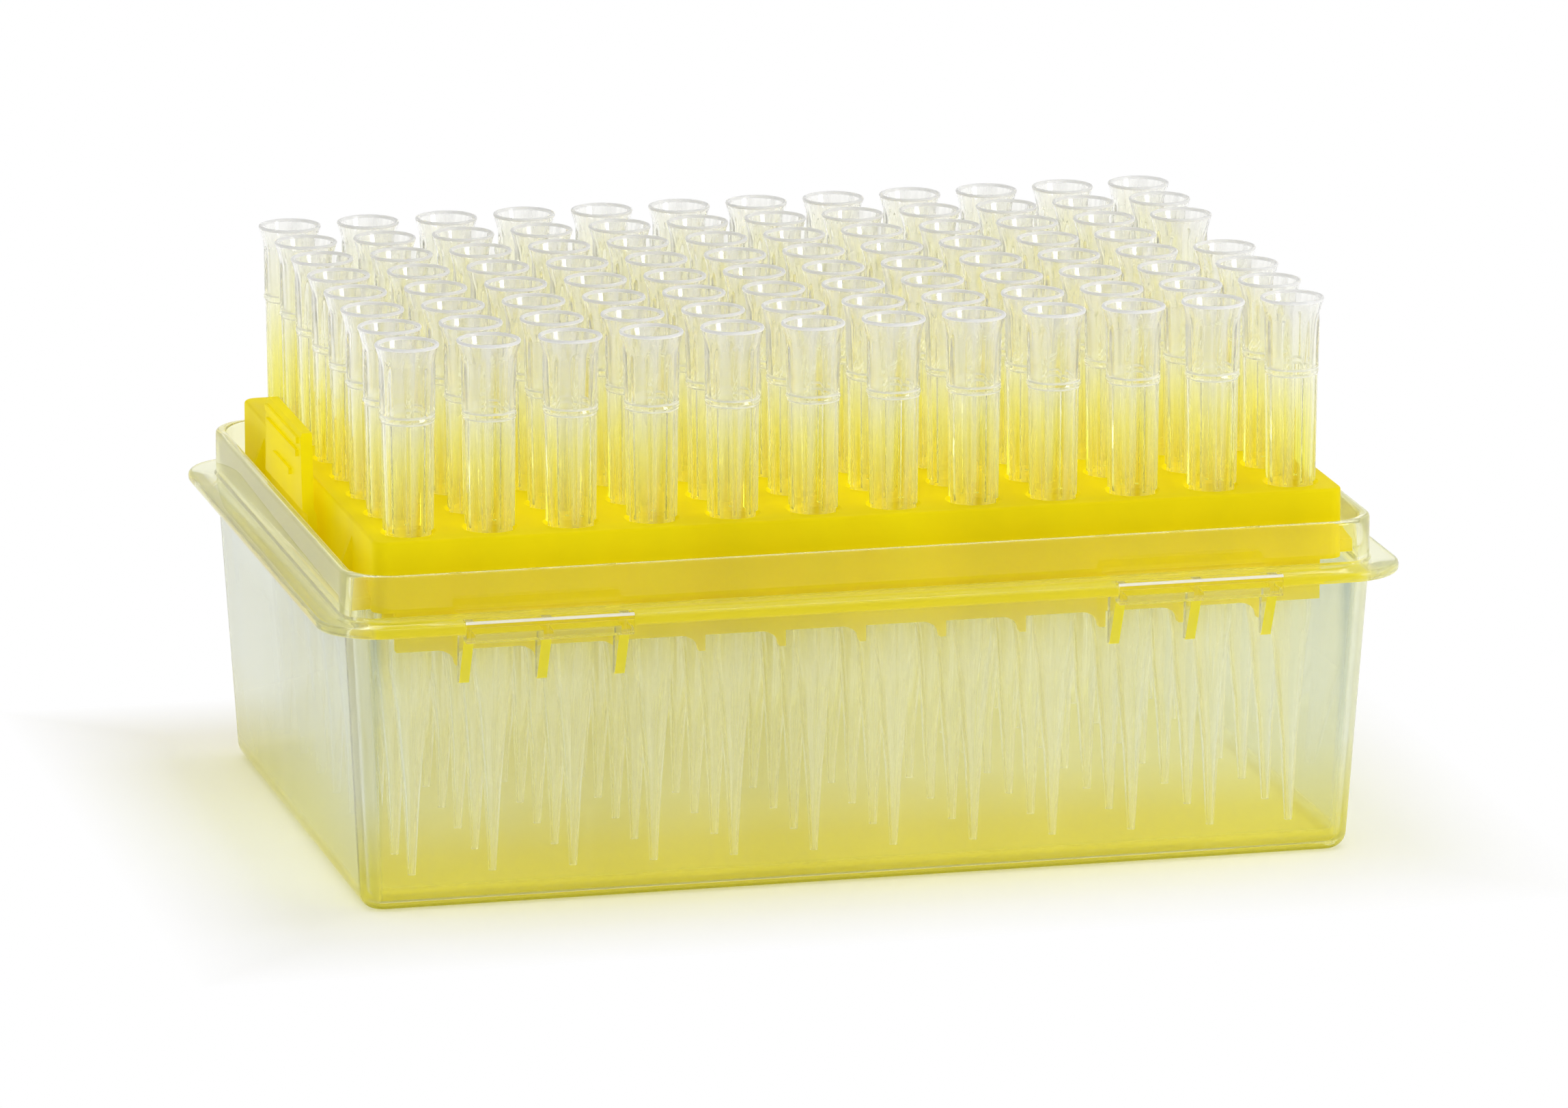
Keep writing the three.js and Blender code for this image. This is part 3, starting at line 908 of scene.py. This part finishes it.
def milky(tree, colour):
    """Plastic that scatters light to both of its sides."""
    inner = add_node(tree, "ShaderNodeBsdfTranslucent", {"Color": colour})
    outer = add_node(tree, "ShaderNodeBsdfDiffuse", {"Color": colour})
    return mix_shaders(tree, MILK_FRONT, inner.outputs["BSDF"], outer.outputs["BSDF"])


def band(tree, height, low, high):
    """1 between two heights and 0 outside them."""
    return multiplied(tree, maths(tree, "GREATER_THAN", height, low),
                      maths(tree, "LESS_THAN", height, high))


def colour_by_height(tree, height, stops):
    """A colour that runs through (height, colour) stops from the lowest to the highest."""
    ramp = add_node(tree, "ShaderNodeValToRGB", {
        "Fac": spread(tree, height, 0, 1, stops[0][0], stops[-1][0])})
    marks = ramp.color_ramp.elements
    span = stops[-1][0] - stops[0][0]
    for _ in stops[2:]:
        marks.new(0.5)
    for mark, (place, colour) in zip(marks, stops):
        mark.position = (place - stops[0][0]) / span
        mark.color = (*colour, 1)
    return ramp.outputs["Color"]


def tip_plastic():
    """Clear plastic, drawn out along the tip, with milk in it, most at its lip and ring, where
    thin bands of milk are painted highlight lines. It is painted yellower towards the plate, a
    painted glow of the light that the rack sends up it."""
    material = bpy.data.materials.new("clear_tip_plastic")
    tree = new_tree(material)
    height = coordinates(tree)[2]
    ring = tip_high.z - RING_DEPTH
    places = (tip_low.z, plate_bottom, plate_top, (plate_top + ring) / 2, ring, tip_high.z)
    # Tints and milk are painted yellow from the plate up to the ring: a painted glow of the rack's
    # light.
    clear = see_through(tree, colour_by_height(tree, height, list(zip(places, TIP_TINTS_AND_PAINTED_GLOW))))
    milk = milky(tree, colour_by_height(tree, height, list(zip(places, TIP_MILK_AND_PAINTED_GLOW))))
    # Painted highlight lines: strong milk at the mouth's rim and in two thin bands either side of
    # the ring.
    edges = maths(tree, "GREATER_THAN", height, tip_high.z - MOUTH_HIGHLIGHT_HEIGHT)
    for line in (ring - RING_LINE_GAP / 2, ring + RING_LINE_GAP / 2):
        on_line = band(tree, height, line - RING_LINE / 2, line + RING_LINE / 2)
        edges = maths(tree, "ADD", edges, on_line)
    streaks = object_noise(tree, *TIP_STREAKS, detail=1.0)
    haze = maths(tree, "MAXIMUM", spread(tree, streaks, *TIP_HAZE, *TIP_HAZE_RUN),
                 multiplied(tree, edges, PAINTED_HIGHLIGHT_MILK))
    put_out(tree, mix_shaders(tree, haze, clear, milk))
    return material


def floor_and_shaded_foot(tree, x, y, z):
    """The frosted floor inside the tray's walls, and the painted shade in the rounding outside at
    their foot, where the tray meets the floor.
    """
    inside = multiplied(tree, maths(tree, "LESS_THAN", x, foot_half_x - FROST_INSET),
                        maths(tree, "LESS_THAN", y, foot_half_y - FROST_INSET))
    outside = maths(tree, "MAXIMUM", maths(tree, "GREATER_THAN", x, foot_half_x - FOOT_ROUND),
                    maths(tree, "GREATER_THAN", y, foot_half_y - FOOT_ROUND))
    foot = multiplied(tree, spread(tree, z, 1, 0, *FOOT_TOP), outside)
    low = multiplied(tree, inside, spread(tree, z, 1, 0, *FROST_TOP))
    return maths(tree, "SUBTRACT", low, foot, clamp=True), foot


def flange_painted_glow(tree, y, z, ends):
    """The flange's long sides, where a painted glow stands for the rack's light that gathers
    there, without their lips.
    """
    sides = maths(tree, "SUBTRACT", spread(tree, y, 0, 1, *SIDE_RUN), ends, clamp=True)
    return multiplied(
        tree, spread(tree, z, 0, 1, flange_bottom - FLANGE_PAINTED_GLOW_DROP, flange_bottom),
        maths(tree, "LESS_THAN", z, shelf_top + WELD),
        maths(tree, "LESS_THAN", y, flange_y + LIP_EDGE), sides)


def fin_painted_glow(tree, y, z, facing_x):
    """The milk in the fins, which paints the rack's yellow light in them as a painted glow: most
    in their narrow faces, and little in their sides. They are what stands out from the leaning
    wall, below the lips."""
    wall = maths(tree, "ADD", multiplied(tree, z, DRAFT / shelf_top), foot_half_y)
    proud = maths(tree, "GREATER_THAN", maths(tree, "SUBTRACT", y, wall), FIN_PROUD)
    narrow = maths(tree, "LESS_THAN", facing_x, FIN_FACING)
    return multiplied(tree, proud, maths(tree, "LESS_THAN", z, flange_bottom - LIP_DROP),
                      spread(tree, narrow, FIN_SIDE_PAINTED_GLOW_SHARE, FIN_PAINTED_GLOW_SHARE, 0, 1))


def corner_painted_highlight(tree, x, below, facing_x, facing_y):
    """The milk in the body's upright corners, which paints their pale highlight lines."""
    turned = multiplied(tree, below, multiplied(tree, facing_x, facing_y))
    return multiplied(tree, spread(tree, turned, 0, CORNER_PAINTED_HIGHLIGHT, *CORNER_FACING),
                      maths(tree, "GREATER_THAN", x, foot_half_x - BODY_CORNER))


def tray_places(tree):
    """Places on the tray, by name: 1 there, 0 elsewhere and a blend between them. "below"
    is the body, less and less towards the flange, and "above" is the flange and the rim.
    "depth" runs from front to back, "fins" and "corners" are shares of milk, and "height"
    is in metres. The milk of "fins" and "glow" is a painted glow of the rack's yellow light, that
    of "corners" and "lips" is painted highlight, and "foot" is painted shade."""
    front_to_back = coordinates(tree)[1]
    x, y, z = coordinates(tree, mirrored=True)
    facing_x, facing_y, _ = coordinates(tree, "Normal", mirrored=True)
    below = maths(tree, "LESS_THAN", z, flange_bottom)
    above = maths(tree, "GREATER_THAN", z, flange_bottom)
    inner_end = foot_half_x - WALL
    end_walls = spread(tree, x, 0, 1, inner_end - END_BLUR, inner_end)
    ends = spread(tree, x, 0, 1, foot_x - END_BLUR, foot_x + END_BLUR)
    floor, foot = floor_and_shaded_foot(tree, x, y, z)
    fade = spread(tree, z, 1, HAZE_TOP_SHARE, HAZE_FADE_START, flange_bottom)
    return {
        "below": multiplied(tree, below, fade),
        "above": above,
        "end_walls": multiplied(tree, below, end_walls),
        "ends": multiplied(tree, above, ends),
        "floor": floor,
        "depth": spread(tree, front_to_back, 0, 1, *(run - body_y for run in FROST_RUN)),
        "foot": foot,
        "height": z,
        "glow": flange_painted_glow(tree, y, z, ends),
        "lips": multiplied(tree, maths(tree, "GREATER_THAN", y, flange_y + LIP_EDGE),
                           maths(tree, "GREATER_THAN", z, shelf_top + LIP_EDGE)),
        "fins": fin_painted_glow(tree, y, z, facing_x),
        "corners": corner_painted_highlight(tree, x, below, facing_x, facing_y),
    }


def tray_milk_and_painted_light_colour(tree, places):
    """The colour of the tray's milk: painted yellow light near its floor and where the rack's
    light gathers, painted yellow-green light at the rim's ends, a painted white highlight on its
    lips and painted shade at its foot."""
    # The painted yellow glow of the fins and the flange's long sides.
    yellow = maths(tree, "MAXIMUM", places["glow"], maths(tree, "GREATER_THAN", places["fins"], 0))
    # Painted glow: the haze is yellow low on the walls, paler higher up.
    colour = blend(tree, spread(tree, places["height"], 0, 1, *HAZE_RUN), *HAZE_AND_PAINTED_GLOW_COLOURS)
    # Painted yellow-green glow at the rim's ends.
    colour = blend(tree, places["ends"], colour, RIM_END_PAINTED_GLOW_COLOUR)
    colour = blend(tree, yellow, colour, FIN_AND_FLANGE_PAINTED_GLOW)
    # Painted white highlight on the lips.
    colour = blend(tree, places["lips"], colour, LIP_HIGHLIGHT_COLOUR)
    # Painted shade at the foot.
    return blend(tree, places["foot"], colour, FOOT_PAINTED_SHADE_COLOUR)


def tray_plastic():
    """Clear plastic with a trace of milk. Its colours hold painted light: a painted yellow glow of
    the rack's light, most in its frosted floor, its fins and the long sides of its flange, painted
    highlights on its lips and upright corners, and painted shade at its foot and on its end walls."""
    material = bpy.data.materials.new("clear_tray_plastic")
    tree = new_tree(material)
    places = tray_places(tree)
    streaks = object_noise(tree, *TRAY_STREAKS)
    body_tint = blend(tree, spread(tree, streaks, 0, 1), *TRAY_TINTS)
    # Painted shade on the end walls.
    body_tint = blend(tree, places["end_walls"], body_tint, END_WALL_PAINTED_SHADE_TINT)
    # The flange and rim get a painted yellow glow of the rack in their tint.
    clear = see_through(tree, blend(tree, places["above"], body_tint, RIM_PAINTED_GLOW_TINT))
    # Milk shares by place: those of the ends, glow and fins paint the rack's yellow light, those
    # of the corners and lips paint highlights, and that of the foot paints shade.
    milk_shares = {"above": RIM_HAZE, "ends": RIM_END_PAINTED_GLOW_MILK, "glow": FLANGE_PAINTED_GLOW_SHARE, "fins": 1.0,
                   "corners": 1.0, "foot": FOOT_SHADE_MILK, "lips": LIP_PAINTED_HIGHLIGHT_MILK}
    milk = multiplied(tree, places["below"], spread(tree, streaks, *TRAY_HAZE))
    for place, share in milk_shares.items():
        milk = maths(tree, "MAXIMUM", milk, multiplied(tree, places[place], share))
    hazed = mix_shaders(tree, milk, clear, milky(tree, tray_milk_and_painted_light_colour(tree, places)))
    # The frost's colour is painted yellow light from the rack, deepest at the front.
    frost = milky(tree, blend(tree, places["depth"], FROST_PAINTED_GLOW_FRONT, FROST_PAINTED_GLOW_BACK))
    frosted = multiplied(tree, places["floor"], FLOOR_FROST)
    surface = mix_shaders(tree, frosted, hazed, frost)
    put_out(tree, let_lamps_through(tree, surface, TRAY_LAMP_TINT))
    return material


def yellow_plastic():
    """Bright yellow moulded plastic that glows a little with light from behind."""
    material = bpy.data.materials.new("yellow_plastic")
    tree = new_tree(material)
    clouds = object_noise(tree, *YELLOW_CLOUDS)
    grain = object_noise(tree, YELLOW_GRAIN, detail=1.0)
    bump = add_node(tree, "ShaderNodeBump", {
        "Strength": GRAIN_STRENGTH, "Distance": GRAIN_DEPTH, "Height": grain})
    face = add_node(tree, "ShaderNodeBsdfPrincipled", {
        "Base Color": blend(tree, spread(tree, clouds, 0, 1), YELLOW_DEEP, YELLOW_BRIGHT),
        "Roughness": spread(tree, clouds, *YELLOW_ROUGHNESS),
        "IOR": CLEAR_IOR,
        "Specular IOR Level": YELLOW_SPECULAR,
        "Normal": bump.outputs["Normal"],
    })
    glow = add_node(tree, "ShaderNodeBsdfTranslucent", {"Color": (*YELLOW_THROUGH, 1)})
    surface = mix_shaders(tree, YELLOW_GLOW, face.outputs["BSDF"], glow.outputs["BSDF"])
    put_out(tree, let_lamps_through(tree, surface, YELLOW_LAMP_TINT))
    return material


# ------------------------------------------------------------ floor, light


def distance_from_object(tree):
    """How far a point of the floor is outside the object's own rectangle."""
    x, y, _ = coordinates(tree, mirrored=True)
    return maths(tree, "MAXIMUM", maths(tree, "SUBTRACT", x, cad_high.x),
                 maths(tree, "SUBTRACT", y, cad_high.y))


def build_floor():
    """A white floor that keeps the object's shadow and fades into the white background.
    What the object mirrors of it is darker in front, as the world is."""
    corners = [(x, y, 0) for x, y in ((-1, -1), (1, -1), (1, 1), (-1, 1))]
    floor = make_object("floor", [Vector(corner) * FLOOR_SIZE for corner in corners],
                        [(0, 1, 2, 3)])
    material = bpy.data.materials.new("floor")
    tree = new_tree(material)
    fade = spread(tree, distance_from_object(tree), 0, 1, *FLOOR_FADE)
    front = spread(tree, coordinates(tree)[1], 1.0 - MIRRORED_FRONT, 0.0, *MIRRORED_FLOOR_RUN)
    dimmed = multiplied(tree, light_path(tree, "Is Reflection Ray"), front)
    strength = maths(tree, "SUBTRACT", 1.0, dimmed)
    matt = add_node(tree, "ShaderNodeBsdfDiffuse", {"Color": (*FLOOR_COLOUR, 1)}).outputs["BSDF"]
    bright = add_node(tree, "ShaderNodeEmission", {"Color": WHITE, "Strength": strength})
    faded = mix_shaders(tree, fade, matt, bright.outputs["Emission"])
    put_out(tree, mix_shaders(tree, seen_directly(tree), matt, faded))
    floor.data.materials.append(material)


def seen_directly(tree):
    """1 for rays that show the background, from the camera, mirrored or through glass, and
    0 for those that light a surface, even if they leave it through glass."""
    path = add_node(tree, "ShaderNodeLightPath")
    total = maths(tree, "ADD", path.outputs["Is Camera Ray"], path.outputs["Is Glossy Ray"])
    total = maths(tree, "ADD", total, path.outputs["Is Transmission Ray"], clamp=True)
    return multiplied(tree, total, maths(tree, "LESS_THAN", path.outputs["Diffuse Depth"], 1))


def build_world():
    """A white background, with plain dimmer light on the object. What the object mirrors is
    white behind it and darker in front, where a camera stands."""
    world = bpy.data.worlds.new("studio")
    bpy.context.scene.world = world
    tree = new_tree(world)
    depth = coordinates(tree, "Generated")[1]
    brightness = spread(tree, depth, MIRRORED_FRONT, MIRRORED_BACK, *MIRRORED_RUN)
    shown, mirrored, light = [
        add_node(tree, "ShaderNodeBackground",
                 {"Color": WHITE, "Strength": strength}).outputs["Background"]
        for strength in (1.0, brightness, AMBIENT)]
    seen = mix_shaders(tree, light_path(tree, "Is Reflection Ray"), shown, mirrored)
    mixed = mix_shaders(tree, seen_directly(tree), light, seen)
    add_node(tree, "ShaderNodeOutputWorld", {"Surface": mixed})


def soft_lamp(name, place, size, power):
    """A soft lamp aimed at the middle of the object."""
    lamp = bpy.data.lights.new(name, "AREA")
    lamp.shape = "RECTANGLE"
    lamp.size, lamp.size_y = size
    lamp.energy = power
    holder = bpy.data.objects.new(name, lamp)
    bpy.context.scene.collection.objects.link(holder)
    holder.location = place
    aim = (cad_low + cad_high) / 2 - Vector(place)
    holder.rotation_euler = aim.to_track_quat("-Z", "Y").to_euler()


def build_lamps():
    """A row of narrow lamps overhead, which share one power, and one lamp on each other
    side: key at the front right, fill at the front left and back behind."""
    for i, x in enumerate(TOP_LAMPS_X):
        power = TOP_POWER / len(TOP_LAMPS_X)
        soft_lamp(f"top_lamp_{i}", (x, *TOP_LAMPS_YZ), TOP_LAMP_SIZE, power)
    for lamp in OTHER_LAMPS:
        soft_lamp(*lamp)


def build_camera():
    """A camera where the photograph's stood, aimed at the object with a longer lens."""
    camera = bpy.data.objects.new("camera", bpy.data.cameras.new("camera"))
    bpy.context.scene.collection.objects.link(camera)
    camera.data.sensor_width = SENSOR_WIDTH
    camera.data.lens = LENS
    camera.location = CAMERA_PLACE
    aim = Vector(CAMERA_AIM) - Vector(CAMERA_PLACE)
    camera.rotation_euler = aim.to_track_quat("-Z", "Y").to_euler()
    bpy.context.scene.camera = camera


def set_up_render():
    """Plain colours, and enough bounces for light to pass many walls of clear plastic."""
    bpy.context.scene.view_settings.view_transform = "Standard"
    cycles = bpy.context.scene.cycles
    cycles.max_bounces = 28
    cycles.transmission_bounces = 28
    cycles.glossy_bounces = 20
    cycles.diffuse_bounces = 3
    cycles.transparent_max_bounces = 20


build_tray(tray_plastic())
build_rack(yellow_plastic())
build_tips(tip_plastic())
build_floor()
build_world()
build_lamps()
build_camera()
set_up_render()
